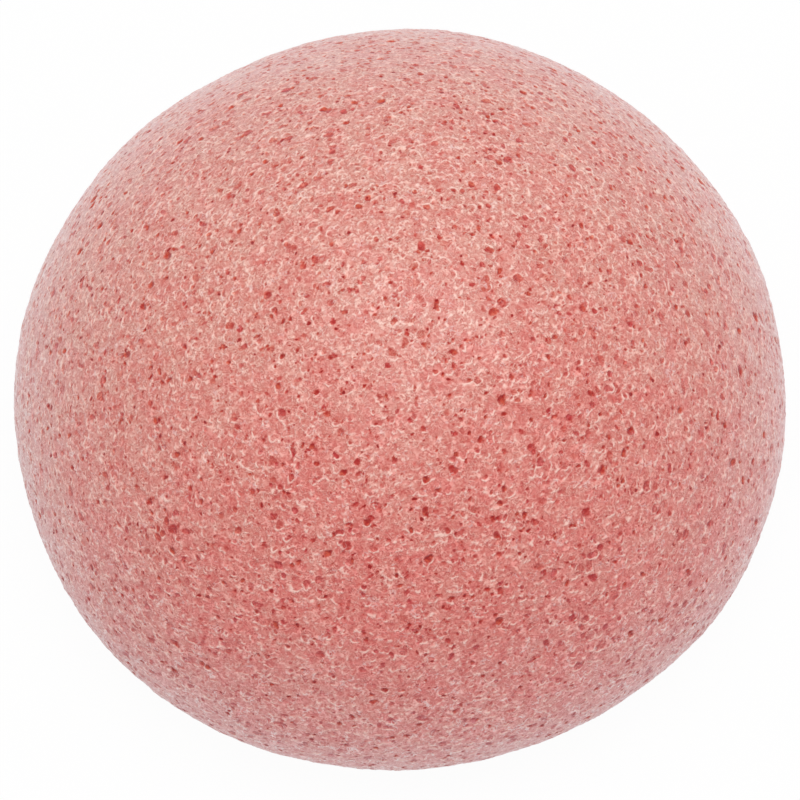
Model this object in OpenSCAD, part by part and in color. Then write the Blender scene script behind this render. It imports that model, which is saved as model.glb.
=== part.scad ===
// Half-ball facial sponge of konjac foam: one moulded piece with a crowned
// dome, a round shoulder, sides that draw in to a rolled rim, and a flat back.
// The back rests on z = 0 with its centre at the origin, and the crown is up.

/* [Body] */
// Width of the sponge across its widest level
body_w = 80; // [76:1:88]
// Height of the crown above the flat back
body_h = 40; // [38:1:42]
// Height of the widest level above the back
belly_h = 8; // [6:0.5:9]
// Radius of the shoulder between the side and the crown
shoulder_r = 16; // [12:1:20]
// Depth of the slice that leaves the back flat
back_cut = 0.5; // [0.3:0.1:1]

/* [Open cells] */
// Number of large open cells over the crown
crown_cells = 180; // [20:4:200]
// Number of large open cells in the flat back
back_cells = 24; // [4:4:40]
// Width of the smallest of the large cells
cell_min_w = 0.9; // [0.7:0.1:1.1]
// Width of the largest of the large cells
cell_max_w = 1.9; // [1.4:0.1:2.2]
// Depth of a cell's centre under the skin
cell_sink = 0.2; // [0.1:0.05:0.3]
// Width of the plain margin between the cells and the shoulder or the rim
cell_margin = 2; // [1.5:0.5:5]

/* [Hidden] */

// The smooth body has fine facets, and a small cell needs only a few
$fn = 128;
cell_facets = 16;

// Length by which a trimming shape runs past what it trims
overrun = 1;

// Outline of the dome: three arcs that meet with no corner
half_w = body_w / 2;
rim_r = belly_h + back_cut;
rim_x = half_w - rim_r;
shoulder_x = half_w - shoulder_r;
rise_h = body_h - belly_h;
rise_spare = rise_h - shoulder_r;
crown_drop = (pow(shoulder_x, 2) - pow(rise_spare, 2)) / (2 * rise_spare);
crown_r = rise_h + crown_drop;
crown_z = belly_h - crown_drop;
join_angle = atan2(crown_drop, shoulder_x);

// Every few cells a smaller bubble opens beside the first
lobe_every = 4;
lobe_width_share = 0.7;
lobe_reach_share = 0.55;

// The cells follow a golden-angle spiral, shaken by a fixed draw
golden_angle = 180 * (3 - sqrt(5));
turn_shake = 24;
cell_seed = 7;
draws_each = 4;
cell_draws = rands(0, 1, draws_each * (crown_cells + back_cells), cell_seed);

// Draw k, from 0 to 1, of cell i
function draw(i, k) = cell_draws[draws_each * i + k];

// Most cells are small: the square of a draw favours the low end
function cell_width(i) = cell_min_w + (cell_max_w - cell_min_w) * pow(draw(i, 0), 2);

// Slice of a disc between two angles
module slice(radius, from_angle, to_angle) {
    middle = (from_angle + to_angle) / 2;
    intersection() {
        circle(r = radius);
        polygon([
            [0, 0],
            2 * radius * [cos(from_angle), sin(from_angle)],
            2 * radius * [cos(middle), sin(middle)],
            2 * radius * [cos(to_angle), sin(to_angle)]
        ]);
    }
}

// Half outline of the body, to turn about the vertical axis
module body_outline() {
    intersection() {
        union() {
            translate([0, crown_z]) slice(crown_r, join_angle, 90);
            translate([shoulder_x, belly_h]) slice(shoulder_r, 0, join_angle);
            translate([rim_x, belly_h]) slice(rim_r, -90, 0);
            polygon([[0, belly_h], [0, crown_z], [shoulder_x, belly_h]]);
            translate([0, -back_cut]) square([rim_x, rim_r]);
        }
        square([body_w, body_h + overrun]);
    }
}

// One open cell under a skin that faces +Z: a round bubble that the skin cuts
// into, alone or with a smaller one that makes its mouth irregular
module open_cell(i) {
    width = cell_width(i);
    aim = 360 * draw(i, 1);
    reach = lobe_reach_share * width;
    translate([0, 0, -cell_sink]) {
        sphere(d = width, $fn = cell_facets);
        if (i % lobe_every == 0) {
            translate([reach * cos(aim), reach * sin(aim), 0])
                sphere(d = lobe_width_share * width, $fn = cell_facets);
        }
    }
}

// Turn about the vertical of cell i in its own spiral
function turn(i, n) = golden_angle * i + turn_shake * draw(n, 2);

// Cells of the crown, evenly spread: on a sphere, equal heights have equal areas
module crown_cell_pattern() {
    lowest_rise = join_angle + cell_margin / crown_r * 180 / PI;
    for (i = [0 : crown_cells - 1]) {
        height_share = (i + draw(i, 3)) / crown_cells;
        rise = asin(1 - height_share * (1 - sin(lowest_rise)));
        translate([0, 0, crown_z])
            rotate([0, 90 - rise, turn(i, i)])
            translate([0, 0, crown_r])
            open_cell(i);
    }
}

// Cells of the flat back, evenly spread inside its plain margin
module back_cell_pattern() {
    back_r = rim_x + sqrt(pow(rim_r, 2) - pow(belly_h, 2));
    for (i = [0 : back_cells - 1]) {
        n = crown_cells + i;
        out_share = sqrt((i + 1 + draw(n, 3)) / (back_cells + 1));
        rotate([0, 0, turn(i, n)])
            translate([(back_r - cell_margin) * out_share, 0, 0])
            mirror([0, 0, 1])
            open_cell(n);
    }
}

module sponge_body() {
    color("lightcoral")
        difference() {
            rotate_extrude() body_outline();
            crown_cell_pattern();
            back_cell_pattern();
        }
}

sponge_body();
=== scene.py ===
import math

import bpy
import numpy as np
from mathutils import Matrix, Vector


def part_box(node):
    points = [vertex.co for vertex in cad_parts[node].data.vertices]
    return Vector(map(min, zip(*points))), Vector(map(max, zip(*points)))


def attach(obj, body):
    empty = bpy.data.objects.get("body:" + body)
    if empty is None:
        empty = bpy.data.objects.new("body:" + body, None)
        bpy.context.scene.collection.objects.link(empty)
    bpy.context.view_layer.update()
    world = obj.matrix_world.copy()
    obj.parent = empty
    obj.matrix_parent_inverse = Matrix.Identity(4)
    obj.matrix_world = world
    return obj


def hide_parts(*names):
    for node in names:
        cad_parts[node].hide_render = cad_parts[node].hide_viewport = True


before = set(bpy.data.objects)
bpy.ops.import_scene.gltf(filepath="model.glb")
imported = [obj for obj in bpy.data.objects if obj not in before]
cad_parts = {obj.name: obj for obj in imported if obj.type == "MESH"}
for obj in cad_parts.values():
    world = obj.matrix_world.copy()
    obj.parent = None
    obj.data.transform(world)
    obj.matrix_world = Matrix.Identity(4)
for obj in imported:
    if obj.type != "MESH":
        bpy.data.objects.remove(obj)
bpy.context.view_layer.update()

# The sponge is one piece of konjac foam, poured into a bowl-shaped mould, frozen and
# thawed. The mould gives it a crowned dome, a round shoulder and sides that draw in to a
# rolled rim. The level top of the pour is its flat back.

mm = 0.001
body_low, body_high = (np.array(corner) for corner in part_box("sponge_body"))
half_width = (body_high[0] - body_low[0]) / 2
crown_height = body_high[2]
belly_height = 8 * mm
shoulder_radius = 16 * mm
back_cut = 0.5 * mm


def half_outline(steps):
    """Half outline from the middle of the back to the crown, as radius, height and the
    angle by which the skin faces up. The back is a straight run. Rim, shoulder and crown
    are arcs that meet with no corner: a point is its arc's centre plus the arc's radius
    times the cosine and sine of that angle."""
    rim_radius = belly_height + back_cut
    rim_x = half_width - rim_radius
    shoulder_x = half_width - shoulder_radius
    spare = crown_height - belly_height - shoulder_radius
    drop = (shoulder_x**2 - spare**2) / (2 * spare)
    crown_radius = spare + shoulder_radius + drop
    join = math.atan2(drop, shoulder_x)
    back_edge = -math.asin(belly_height / rim_radius)
    rise = np.linspace(back_edge, math.pi / 2, steps)
    centre_x = np.where(rise > join, 0, np.where(rise > 0, shoulder_x, rim_x))
    centre_z = np.where(rise > join, belly_height - drop, belly_height)
    arc = np.where(rise > join, crown_radius, np.where(rise > 0, shoulder_radius, rim_radius))
    radius = centre_x + arc * np.cos(rise)
    height = centre_z + arc * np.sin(rise)
    back = np.linspace(0, radius[0], steps // 4, endpoint=False)
    return (
        np.concatenate([back, radius]),
        np.concatenate([np.zeros_like(back), height]),
        np.concatenate([np.full_like(back, -math.pi / 2), rise]),
    )


# The back is seldom seen, so its mesh is coarser: a band below this height counts as back,
# and its area counts as this share of itself
back_top = 0.1 * mm
back_density = 0.35


def mesh_shares(radius, height):
    """Share of the mesh that lies before each point of the outline. It is the area swept
    by the bands up to there, each one its length times its mean radius, over the area of
    them all."""
    length = np.hypot(np.diff(radius), np.diff(height))
    band = length * (radius[1:] + radius[:-1]) / 2
    band *= np.where((height[1:] + height[:-1]) / 2 < back_top, back_density, 1)
    total = np.concatenate([[0], np.cumsum(band)])
    return total / total[-1]


# Bare border round each face of the cube in its map, as a share of the face
map_margin = 0.012


def cube_lattice(steps):
    """Points and quads of a cube's surface ruled into squares. Each face is a grid of two
    whole numbers with the third held at 0 or steps, and the points that faces share are
    kept once. Also gives each quad corner its place in a map of three by two faces."""
    u, v = np.meshgrid(np.arange(steps + 1), np.arange(steps + 1), indexing="ij")
    grids = []
    for axis in range(3):
        for side in (0, steps):
            grid = np.empty((steps + 1, steps + 1, 3), np.int64)
            grid[..., axis] = side
            grid[..., (axis + 1) % 3] = u if side else v
            grid[..., (axis + 2) % 3] = v if side else u
            grids.append(grid)
    grids = np.array(grids)
    keys = (grids[..., 0] * (steps + 1) + grids[..., 1]) * (steps + 1) + grids[..., 2]
    kept, first, index = np.unique(keys, return_index=True, return_inverse=True)
    index = index.reshape(keys.shape)
    corners = [index[:, :-1, :-1], index[:, 1:, :-1], index[:, 1:, 1:], index[:, :-1, 1:]]
    quads = np.stack(corners, axis=-1).reshape(-1, 4)
    place_u = map_margin + (1 - 2 * map_margin) * u / steps
    place_v = map_margin + (1 - 2 * map_margin) * v / steps
    maps = []
    for face in range(6):
        at = np.stack([(face % 3 + place_u) / 3, (face // 3 + place_v) / 2], axis=-1)
        maps.append(np.stack([at[:-1, :-1], at[1:, :-1], at[1:, 1:], at[:-1, 1:]], axis=-2))
    return grids.reshape(-1, 3)[first], quads, np.array(maps).reshape(-1, 2)


# The mould's bowl isn't quite round, and neither is a damp sponge. Each low wave round the
# body has a number of lobes, a height as a share of the radius, and the direction of one
# lobe in degrees
lobe_shares = ((2, 0.0045, 37), (3, 0.0035, -25), (4, 0.004, -23), (5, 0.002, 18),
               (6, 0.0015, 28), (7, 0.0015, 22))
outline_steps = 4000


def smooth_body(lattice, steps):
    """The smooth skin: its points and the way each one faces. The cube's surface is blown
    up to a ball with even steps of angle, and the ball is pressed onto the outline. The
    ball's height picks the point of the outline with that share of the mesh, and its turn
    is kept. Cosines of the turn, one for each low wave, swell the radius."""
    ball = np.tan((lattice / steps * 2 - 1) * math.pi / 4)
    ball /= np.linalg.norm(ball, axis=1)[:, None]
    radius, height, rise = half_outline(outline_steps)
    shares = mesh_shares(radius, height)
    share = (ball[:, 2] + 1) / 2
    turn = np.arctan2(ball[:, 1], ball[:, 0])
    swell = np.ones_like(turn)
    for lobes, amount, direction in lobe_shares:
        swell += amount * np.cos(lobes * (turn - math.radians(direction)))
    out = np.interp(share, shares, radius) * swell
    up = np.interp(share, shares, height)
    facing = np.interp(share, shares, rise)
    points = np.stack([out * np.cos(turn), out * np.sin(turn), up], axis=1)
    level = np.cos(facing)
    normals = np.stack([level * np.cos(turn), level * np.sin(turn), np.sin(facing)], axis=1)
    return points, normals


# Steps along each side of the cube, which rule the skin into squares of about 0.1 mm
lattice_steps = 398
lattice, quads, corner_map = cube_lattice(lattice_steps)
skin, facing = smooth_body(lattice, lattice_steps)


# Bubbles of four sizes fill the foam, and the skin is where the mould cut across them. Most
# are closed by a sagging film that shines red. Some tore open into dark pores, and pale rags
# of film stand up on the rims of many.

def lattice_draws(cell, salt, count):
    """Draws from 0 to 1 for cells of a lattice. A cell's three numbers and the salt, each
    times a large odd number, are summed into one word, and its bits are mixed by shifts
    and products before each draw."""
    word = (cell * np.array([73856093, 19349663, 83492791])).sum(axis=1) + salt * 971215073
    word = (word & 0xFFFFFFFF).astype(np.uint32)
    draws = []
    for _ in range(count):
        word ^= word >> np.uint32(16)
        word *= np.uint32(0x7FEB352D)
        word ^= word >> np.uint32(15)
        word *= np.uint32(0x846CA68B)
        word ^= word >> np.uint32(16)
        draws.append(word.astype(np.float32) / np.float32(2**32))
    return draws


def spare_draw(draw):
    """One more draw from 0 to 1 out of another: seven times it, less the whole part."""
    return (draw * 7) % 1


def ripple(points, wavelength, salt):
    """Smooth irregular waves, mostly from -1 to 1: the mean of seven sines along scattered
    directions, each with a wavelength near the given one, times 1.6 because seven sines
    seldom peak together."""
    draw = np.random.default_rng(salt)
    waves = 7
    total = np.zeros(len(points))
    for _ in range(waves):
        way = draw.normal(size=3)
        way *= 2 * math.pi / (wavelength * draw.uniform(0.75, 1.3)) / np.linalg.norm(way)
        total += np.sin(points @ way + draw.uniform(0, 2 * math.pi))
    return total / waves * 1.6


def smooth_step(value, low, high):
    """0 below low, 1 above high, and between them 3 t squared less 2 t cubed."""
    share = np.clip((value - low) / (high - low), 0, 1)
    return share * share * (3 - 2 * share)


# Added to a length that divides, so that it is never zero
tiny = 1e-9


def nearest_bubble(points, downhill, pitch, small, large, salt):
    """One bubble sits at a drawn place in each cube of a lattice. It is no wider than the
    cube, so only the eight nearest cubes count. For each point it gives the distance to the
    bubble that the point is deepest in, as a share of its radius, then its radius, how far
    downhill of its centre the point lies, as the cosine of that angle, and two draws."""
    home = np.floor(points / pitch - 0.5).astype(np.int64)
    far_in_radii = 9
    reach = np.full(len(points), far_in_radii, np.float32)
    found = [np.zeros(len(points), np.float32) for _ in range(4)]
    for step in np.ndindex(2, 2, 2):
        cell = home + np.array(step)
        x, y, z, size, first, second = lattice_draws(cell, salt, 6)
        away = points - (cell + np.stack([x, y, z], axis=1)) * pitch
        radius = small + (large - small) * size**1.5
        length = np.sqrt((away**2).sum(axis=1))
        side = (away * downhill).sum(axis=1) / (length + tiny)
        closer = length / radius < reach
        reach = np.where(closer, length / radius, reach)
        for kept, value in zip(found, (radius, side, first, second)):
            kept[closer] = value[closer]
    return (reach, *found)


# The bubbles are looked up at a place shaken by long and short waves, so that the mouths
# are lobed and drawn out, and not round. Each has a wavelength, a height and three salts
shakes = ((1.5 * mm, 0.18 * mm, (11, 12, 13)), (0.7 * mm, 0.08 * mm, (14, 15, 16)))
read_at = skin.copy()
for wavelength, height, salts in shakes:
    read_at += np.stack([ripple(skin, wavelength, salt) for salt in salts], axis=1) * height

# The way down the dome along the skin: torn film hangs on the lower side of its mouth,
# where its pale lip stands up, and the upper side is an undercut with painted shade
level_out = skin[:, :2] / (np.linalg.norm(skin[:, :2], axis=1)[:, None] + tiny)
level_share = np.linalg.norm(facing[:, :2], axis=1)
downhill = np.concatenate([level_out * facing[:, 2:], -level_share[:, None]], axis=1)

# Sizes of bubble: the pitch of the lattice, the smallest and largest radius, the share
# that tore open, the depth of a closed and of a torn one as shares of the radius, and the
# share with a pale lip
bubble_sizes = ((1.35 * mm, 0.32 * mm, 0.54 * mm, 0.03, 0.09, 0.5, 0.55),
                (1.0 * mm, 0.23 * mm, 0.40 * mm, 0.05, 0.10, 0.6, 0.45),
                (0.8 * mm, 0.16 * mm, 0.30 * mm, 0.08, 0.12, 0.7, 0.3),
                (0.6 * mm, 0.10 * mm, 0.20 * mm, 0.08, 0.16, 0.8, 0.2))

# More of them have a lip towards the far side: the added share grows from nothing at 5 mm
# before the dome's middle to its most at 15 mm behind it
most_added = 0.2
more_lips = most_added * smooth_step(skin[:, 1], -5 * mm, 15 * mm)

# For each point: the depth of the skin's sag, how red the film shines and its hue, how
# far it is torn, how dark the painted shade of its undercut is, and the distance to the rim
# of the nearest mouth, negative inside it, with the strength of the lip there
far_off = 1 * mm
sag, film, hue, torn, undercut_shade, rim_share = np.zeros((6, len(skin)))
to_rim = np.full(len(skin), far_off)
for salt, size in enumerate(bubble_sizes, 1):
    pitch, small, large, open_share, closed_depth, torn_depth, lip_share = size
    reach, radius, side, first, second = nearest_bubble(
        read_at, downhill, pitch, small, large, salt
    )
    inside = np.clip(1 - reach**2, 0, 1)
    is_torn = first < open_share
    depth = radius * inside * np.where(is_torn, torn_depth, closed_depth * (0.5 + second))
    sag = np.maximum(sag, depth)
    # A torn bubble shines in full, and the cube of a draw leaves most closed ones dull
    strength = np.where(is_torn, 1, 0.15 + 0.85 * second**3)
    shine = smooth_step(inside, 0, 0.35) * strength
    hue = np.where(shine > film, spare_draw(first), hue)
    film = np.maximum(film, shine)
    torn = np.maximum(torn, np.where(is_torn, smooth_step(inside, 0.05, 0.6), 0))
    # The undercut's painted shade lies on the uphill side, and fades towards the middle of
    # the bubble
    shade = smooth_step(inside, 0, 0.25) * smooth_step(-side, -0.05, 0.6) * (1 - 0.4 * inside)
    undercut_shade = np.maximum(undercut_shade, shade * smooth_step(strength, 0.3, 0.9))
    off_rim = (reach - 1) * radius
    has_lip = smooth_step(lip_share + more_lips - spare_draw(second), -0.1, 0.1)
    # The lip keeps to the downhill side, where its pale paint is partly a painted highlight
    lip = smooth_step(side, -0.3, 0.5) * has_lip
    rim_share = np.where(off_rim < to_rim, lip, rim_share)
    to_rim = np.minimum(to_rim, off_rim)

# Windows: small holes painted dark as shade, where a bubble just under the skin broke
# through it
window_pitch = 0.9 * mm
window_small = 0.11 * mm
window_large = 0.25 * mm
window_share = 0.2
window_edge = 0.12 * mm
window_depth = 0.06 * mm
window_salt = 9
reach, radius, _, first, _ = nearest_bubble(
    read_at, downhill, window_pitch, window_small, window_large, window_salt
)
is_window = first < window_share
to_window = np.where(is_window, np.minimum((reach - 1) * radius, far_off), far_off)
sag += smooth_step(-to_window, 0, window_edge) * window_depth

# Lips of film stand up in a ridge just outside the rim, as a bell curve of the distance
lip_place = 0.03 * mm
lip_width = 0.1 * mm
lip_height = 0.05 * mm
ridge = np.exp(-((to_rim - lip_place) / lip_width) ** 2) * rim_share * lip_height

# The dome's broad, middling and fine unevenness: wavelength, height and salt. It fades out
# towards the back, which stays flat
swells = ((14 * mm, 0.12 * mm, 21), (4 * mm, 0.03 * mm, 22), (2.2 * mm, 0.035 * mm, 23))
swell = sum(ripple(skin, wavelength, salt) * height for wavelength, height, salt in swells)
flat_zone = 1.5 * mm
outward = (swell + ridge) * np.clip(skin[:, 2] / flat_zone, 0, 1)
spot = skin + facing * (outward - sag)[:, None]

body_mesh = bpy.data.meshes.new("sponge_foam")
body_mesh.vertices.add(len(spot))
body_mesh.vertices.foreach_set("co", spot.astype(np.float32).ravel())
body_mesh.loops.add(quads.size)
body_mesh.loops.foreach_set("vertex_index", quads.astype(np.int32).ravel())
body_mesh.polygons.add(len(quads))
body_mesh.polygons.foreach_set("loop_start", np.arange(0, quads.size, 4, dtype=np.int32))
body_mesh.polygons.foreach_set("use_smooth", np.ones(len(quads), bool))
body_mesh.update()
unwrapped = body_mesh.uv_layers.new(name="OFBake")
unwrapped.data.foreach_set("uv", corner_map.astype(np.float32).ravel())

# What the finish reads at each point, with the two distances in millimetres
marks = {"film": film, "hue": hue, "torn": torn, "undercut_shade": undercut_shade, "to_rim": to_rim / mm,
         "rim_share": rim_share, "to_window": to_window / mm}
for name, values in marks.items():
    mark = body_mesh.attributes.new(name, "FLOAT", "POINT")
    mark.data.foreach_set("value", values.astype(np.float32))
sponge = bpy.data.objects.new("sponge_foam", body_mesh)
bpy.context.scene.collection.objects.link(sponge)

# The finish: coral-pink damp foam, painted in layers from the skin's own tone to its holes,
# with painted shade, highlights and sheen among the layers
foam_finish = bpy.data.materials.new("konjac_foam")
foam_finish.use_nodes = True
nodes, links = foam_finish.node_tree.nodes, foam_finish.node_tree.links
shader = nodes["Principled BSDF"]
place = nodes.new("ShaderNodeTexCoord").outputs["Object"]
place_parts = nodes.new("ShaderNodeSeparateXYZ")
links.new(place, place_parts.inputs[0])


def painted(red, green, blue):
    """Linear colour of a paint given as screen values from 0 to 255. Each is made a share
    of 255. A share below 0.04045 is divided by 12.92, and any other has 0.055 added, is
    divided by 1.055 and raised to the power 2.4."""
    share = np.array([red, green, blue]) / 255
    linear = np.where(share < 0.04045, share / 12.92, ((share + 0.055) / 1.055) ** 2.4)
    return (*linear, 1)


def put(socket, value):
    """Link a value from another node, or set a plain one."""
    if isinstance(value, bpy.types.NodeSocket):
        links.new(value, socket)
    else:
        socket.default_value = value


def reading(name):
    """What the mesh holds under this name at the point."""
    node = nodes.new("ShaderNodeAttribute")
    node.attribute_name = name
    return node.outputs["Fac"]


def cloudy(scale, detail=2.0, rough=0.5, twist=0.0):
    """Clouds of smooth noise from 0 to 1, about 0.5 on the mean. Scale is their number in
    a metre. Each step of detail adds clouds half as wide, rough times as strong, and twist
    bends them."""
    node = nodes.new("ShaderNodeTexNoise")
    node.inputs["Scale"].default_value = scale
    node.inputs["Detail"].default_value = detail
    node.inputs["Roughness"].default_value = rough
    node.inputs["Distortion"].default_value = twist
    links.new(place, node.inputs["Vector"])
    return node.outputs["Fac"]


def sums(kind, first, second=0.0):
    """One sum of two values, of a kind such as ADD or MAXIMUM. The kind ABSOLUTE takes the
    first alone and drops its sign."""
    node = nodes.new("ShaderNodeMath")
    node.operation = kind
    put(node.inputs[0], first)
    put(node.inputs[1], second)
    return node.outputs[0]


def ranged(value, low, high, to_low=0.0, to_high=1.0):
    """A value's way from low to high, as a smooth step t of 0 to 1, and then to_low plus
    t times the difference of to_high and to_low."""
    node = nodes.new("ShaderNodeMapRange")
    node.interpolation_type = "SMOOTHSTEP"
    node.inputs["From Min"].default_value = low
    node.inputs["From Max"].default_value = high
    node.inputs["To Min"].default_value = to_low
    node.inputs["To Max"].default_value = to_high
    links.new(value, node.inputs["Value"])
    return node.outputs["Result"]


def near_line(value, offset, half_width):
    """1 where a value is at the offset, falling smoothly to 0 half a width to each side."""
    off = sums("ABSOLUTE", sums("SUBTRACT", value, offset))
    return ranged(off, 0.0, half_width, 1.0, 0.0)


def mixed(amount, first, second, blend="MIX"):
    """Colour between two others, by an amount from 0 to 1, or from the first one to
    another blend of the two."""
    node = nodes.new("ShaderNodeMix")
    node.data_type = "RGBA"
    node.blend_type = blend
    # The node's colours go in at sockets 6 and 7 and come out at 2
    put(node.inputs[0], amount)
    put(node.inputs[6], first)
    put(node.inputs[7], second)
    return node.outputs[2]


def tinted(amount, colour, shares):
    """A colour times three shares, for red, green and blue, by an amount from 0 to 1."""
    return mixed(amount, colour, (*shares, 1), "MULTIPLY")


# Painted shade: the front, away from the lamp, is painted redder, along a slightly
# slanting and wavering line
slant = sums("MULTIPLY", place_parts.outputs["X"], -0.2)
aslant = sums("ADD", place_parts.outputs["Y"], slant)
wavering = sums("ADD", aslant, sums("MULTIPLY", cloudy(90), 0.016))
redder_front_shade = ranged(wavering, 0.024, -0.036)
coral = painted(219, 155, 141)
shaded_red_coral = painted(224, 133, 123)
tone = mixed(sums("MULTIPLY", redder_front_shade, 0.85), coral, shaded_red_coral)

# Soft red patches of three sizes: clouds in a metre, where a patch starts and is full, and
# its tint
patches = ((210, 0.4, 0.62, (1.0, 0.8, 0.82)),
           (420, 0.45, 0.62, (0.99, 0.77, 0.79)),
           (850, 0.45, 0.65, (0.99, 0.77, 0.77)))
for scale, start, full, shares in patches:
    tone = tinted(ranged(cloudy(scale, 1), start, full, 0.0, 0.45), tone, shares)

# Small darker clots, most of them in the painted shade of the front
clot_share = sums("ADD", sums("MULTIPLY", redder_front_shade, 0.5), 0.1)
clots = sums("MULTIPLY", ranged(cloudy(1300, 1), 0.5, 0.62), clot_share)
tone = tinted(clots, tone, (0.96, 0.68, 0.71))

# Where a film shines it is orange red or crimson, blotched, and deeper in the painted
# shade of the front
orange_film = painted(216, 104, 78)
crimson_film = painted(208, 82, 78)
film_tone = mixed(reading("hue"), orange_film, crimson_film)
film_tone = tinted(ranged(cloudy(2300, 1), 0.4, 0.62), film_tone, (0.86, 0.65, 0.65))
film_tone = tinted(redder_front_shade, film_tone, (0.85, 0.55, 0.8))
foam_tone = mixed(reading("film"), tone, film_tone)

# Paler low on the side: partly skin dried paler against the mould's wall, partly a painted
# sheen of the pale grazing edge
wavy_height = sums("ADD", place_parts.outputs["Z"], sums("MULTIPLY", cloudy(120), 0.012))
low_side = ranged(wavy_height, 0.034, 0.012)
dry_and_sheen_pink = painted(226, 172, 170)
foam_tone = mixed(sums("MULTIPLY", low_side, 0.3), foam_tone, dry_and_sheen_pink)
foam_tone = tinted(low_side, foam_tone, (1.03, 1.2, 1.24))

# Fine grain all over the skin
foam_tone = tinted(ranged(cloudy(4200, 1), 0.4, 0.62), foam_tone, (0.93, 0.84, 0.84))

# Threads of film: short pale crests along the foam's walls, where coarse or fine clouds
# cross their mean, partly a painted highlight, and painted shade in the hollows beside them
coarse = sums("ABSOLUTE", sums("SUBTRACT", cloudy(1400, 0, 0.4, 0.7), 0.5))
fine = sums("ABSOLUTE", sums("SUBTRACT", cloudy(2800, 0, 0.4, 0.8), 0.5))
threads = sums("MAXIMUM", ranged(coarse, 0.0, 0.085, 1, 0), ranged(fine, 0.0, 0.11, 1, 0))
crests = sums("MULTIPLY", threads, ranged(cloudy(1700, 1), 0.42, 0.58, 0.15, 1))
shaded_hollows = sums("MAXIMUM", near_line(coarse, 0.13, 0.05), ranged(fine, 0.13, 0.22))
foam_tone = tinted(shaded_hollows, foam_tone, (0.87, 0.66, 0.64))
foam_tone = tinted(crests, foam_tone, (1.3, 1.85, 1.9))

# The pale lips on the rims, broken here and there: pale film, partly a painted highlight
# on the downhill side
rims = sums("MULTIPLY", near_line(reading("to_rim"), 0.05, 0.16), reading("rim_share"))
rims = sums("MULTIPLY", rims, ranged(cloudy(1900, 1), 0.34, 0.5, 0.25, 1))
lip_cream_highlight = painted(254, 214, 201)
foam_tone = mixed(sums("MULTIPLY", rims, 0.85), foam_tone, lip_cream_highlight)

# Painted glints: white highlights of wet thread in patches, most of them low on the side
glint_patches = sums("ADD", cloudy(900, 1), sums("MULTIPLY", low_side, 0.09))
painted_glint_lines = near_line(cloudy(1500, 1, 0.4, 0.5), 0.5, 0.06)
painted_glints = sums("MULTIPLY", painted_glint_lines, ranged(glint_patches, 0.58, 0.68))
painted_glints = sums("MULTIPLY", painted_glints, ranged(low_side, 0.0, 1.0, 0.35, 0.8))
painted_glint_white = painted(252, 232, 230)
foam_tone = mixed(painted_glints, foam_tone, painted_glint_white)

# Torn pores are painted darker inside as shade in the pore, mottled from orange walls to
# deep red, and darkest with the painted shade of the undercut on their upper side
torn_orange = painted(206, 92, 70)
torn_red_shade = painted(176, 44, 40)
undercut_shade_red = painted(164, 14, 20)
torn_tone_and_shade = mixed(ranged(cloudy(2600, 1), 0.42, 0.58), torn_orange, torn_red_shade)
foam_tone = mixed(sums("MULTIPLY", reading("torn"), 0.75), foam_tone, torn_tone_and_shade)
foam_tone = mixed(sums("MULTIPLY", reading("undercut_shade"), 0.8), foam_tone, undercut_shade_red)

# A window is a hole with a ragged edge, painted dark as the shade inside it, in a halo
# where the film round it is thin
halo_red = painted(208, 78, 64)
hole_shade_red = painted(152, 8, 14)
ragged = sums("MULTIPLY", sums("SUBTRACT", cloudy(3000, 1), 0.5), 0.3)
hole_shade = ranged(sums("ADD", reading("to_window"), ragged), -0.07, 0.01, 1.0, 0.0)
halo = ranged(reading("to_window"), -0.05, 0.16, 0.6, 0.0)
foam_tone = mixed(halo, foam_tone, halo_red)
foam_tone = mixed(sums("MULTIPLY", hole_shade, 0.88), foam_tone, hole_shade_red)
links.new(foam_tone, shader.inputs["Base Color"])

# The skin scatters light softly, under a thin wet coat that the films and holes lack
shader.inputs["Roughness"].default_value = 0.5
shader.inputs["Specular IOR Level"].default_value = 0.05
shader.inputs["Sheen Weight"].default_value = 0.38
shader.inputs["Sheen Roughness"].default_value = 0.5
shader.inputs["Sheen Tint"].default_value = (0.93, 0.93, 1.0, 1)
wet = ranged(sums("MAXIMUM", hole_shade, reading("film")), 0.0, 0.5, 1.0, 0.0)
links.new(wet, shader.inputs["Coat Weight"])
shader.inputs["Coat Roughness"].default_value = 0.4
shader.inputs["Coat IOR"].default_value = 1.4

# Crests and lips stand up from the skin, hollows lie half as deep, and a fine grain is on all
relief = sums("SUBTRACT", sums("MAXIMUM", crests, rims), sums("MULTIPLY", shaded_hollows, 0.5))
relief = sums("ADD", relief, sums("MULTIPLY", cloudy(3800, 1), 0.6))
grain = nodes.new("ShaderNodeBump")
grain.inputs["Strength"].default_value = 0.7
grain.inputs["Distance"].default_value = 0.06 * mm
links.new(relief, grain.inputs["Height"])
links.new(grain.outputs["Normal"], shader.inputs["Normal"])
body_mesh.materials.append(foam_finish)

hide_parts("sponge_body")
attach(sponge, "root")

# The stage is a plain pale floor under the sponge. It shows as a white ground, and keeps
# the sponge's soft shadow.

floor_reach = 1.5
unit_corners = ((-1, -1), (1, -1), (1, 1), (-1, 1))
floor_corners = [(x * floor_reach, y * floor_reach, 0) for x, y in unit_corners]
floor_mesh = bpy.data.meshes.new("floor")
floor_mesh.from_pydata(floor_corners, [], [(0, 1, 2, 3)])
floor = bpy.data.objects.new("floor", floor_mesh)
bpy.context.scene.collection.objects.link(floor)


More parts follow.
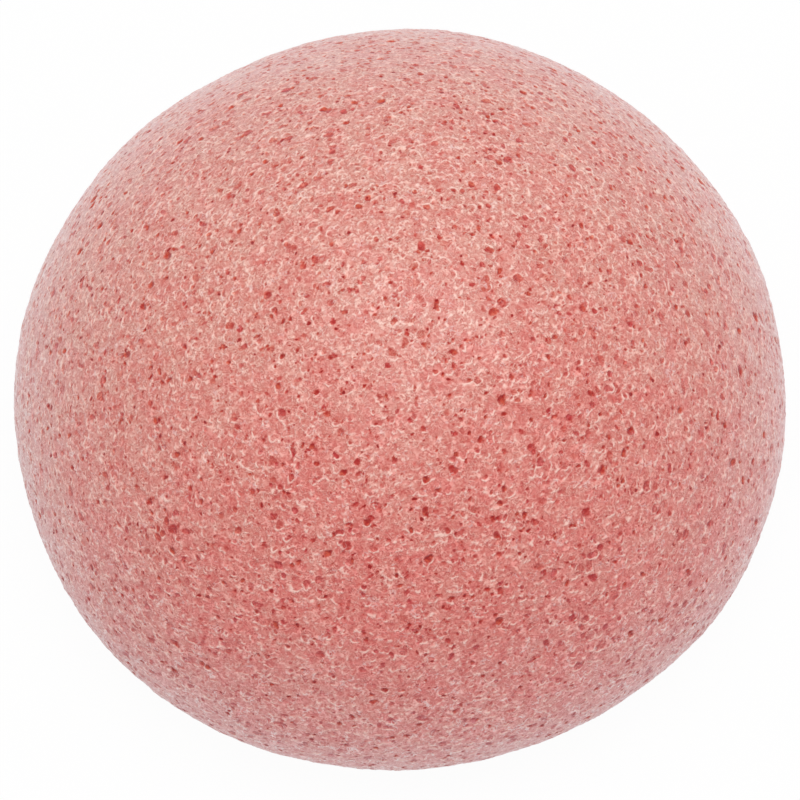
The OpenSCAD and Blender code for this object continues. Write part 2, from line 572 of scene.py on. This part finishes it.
def seen_directly(tree, share):
    """A share for the rays that show a background, from the camera, off gloss or through
    glass, and 0 for the rays that light the object: the largest of the three, times it."""
    rays = tree.nodes.new("ShaderNodeLightPath")
    total = rays.outputs["Is Camera Ray"]
    for kind in ("Is Glossy Ray", "Is Transmission Ray"):
        both = tree.nodes.new("ShaderNodeMath")
        both.operation = "MAXIMUM"
        tree.links.new(total, both.inputs[0])
        tree.links.new(rays.outputs[kind], both.inputs[1])
        total = both.outputs[0]
    part = tree.nodes.new("ShaderNodeMath")
    part.operation = "MULTIPLY"
    part.inputs[1].default_value = share
    tree.links.new(total, part.inputs[0])
    return part.outputs[0]


# The floor's paint is matt, and a share of what is seen of it is white instead
floor_grey = (0.85, 0.85, 0.85, 1)
white_share = 0.96
floor_paint = bpy.data.materials.new("floor_paint")
floor_paint.use_nodes = True
floor_tree = floor_paint.node_tree
floor_tree.nodes.clear()
matt = floor_tree.nodes.new("ShaderNodeBsdfDiffuse")
matt.inputs["Color"].default_value = floor_grey
glow = floor_tree.nodes.new("ShaderNodeEmission")
blend = floor_tree.nodes.new("ShaderNodeMixShader")
surface = floor_tree.nodes.new("ShaderNodeOutputMaterial")
floor_tree.links.new(seen_directly(floor_tree, white_share), blend.inputs["Fac"])
floor_tree.links.new(matt.outputs[0], blend.inputs[1])
floor_tree.links.new(glow.outputs[0], blend.inputs[2])
floor_tree.links.new(blend.outputs[0], surface.inputs["Surface"])
floor_mesh.materials.append(floor_paint)

# The light is a wide soft lamp above and a little behind the sponge, as a window would be,
# and a pale sky all round that fills the shadows. Seen directly, the sky is white.

sky_light = 0.64
sky_seen = 1.0
world = bpy.data.worlds.new("sky")
bpy.context.scene.world = world
world.use_nodes = True
sky = world.node_tree.nodes["Background"]
sky.inputs["Color"].default_value = (1, 1, 1, 1)
sky_level = world.node_tree.nodes.new("ShaderNodeMapRange")
sky_level.inputs["To Min"].default_value = sky_light
sky_level.inputs["To Max"].default_value = sky_seen
world.node_tree.links.new(seen_directly(world.node_tree, 1.0), sky_level.inputs["Value"])
world.node_tree.links.new(sky_level.outputs["Result"], sky.inputs["Strength"])

lamp_place = Vector((0.04, 0.14, 0.83))
lamp_width = 0.7
lamp_watts = 3.6
lamp_data = bpy.data.lights.new("window", "AREA")
lamp_data.shape = "DISK"
lamp_data.size = lamp_width
lamp_data.energy = lamp_watts
lamp = bpy.data.objects.new("window", lamp_data)
lamp.location = lamp_place
lamp.rotation_euler = (-lamp_place).to_track_quat("-Z", "Y").to_euler()
bpy.context.scene.collection.objects.link(lamp)

# The camera looks down on the crown at a steep angle through a long lens, which frames the
# sponge's width with a narrow margin.

camera_rise = math.radians(70.5)
camera_distance = 0.7
seen_width = 83.2 * mm
aim = Vector((0, 0, 7.6 * mm))
camera_data = bpy.data.cameras.new("camera")
camera_data.sensor_width = 36
camera_data.lens = camera_data.sensor_width * camera_distance / seen_width
camera = bpy.data.objects.new("camera", camera_data)
camera.location = aim + camera_distance * Vector((0, -math.cos(camera_rise), math.sin(camera_rise)))
camera.rotation_euler = (math.pi / 2 - camera_rise, 0, 0)
bpy.context.scene.collection.objects.link(camera)
bpy.context.scene.camera = camera
bpy.context.scene.view_settings.view_transform = "Standard"
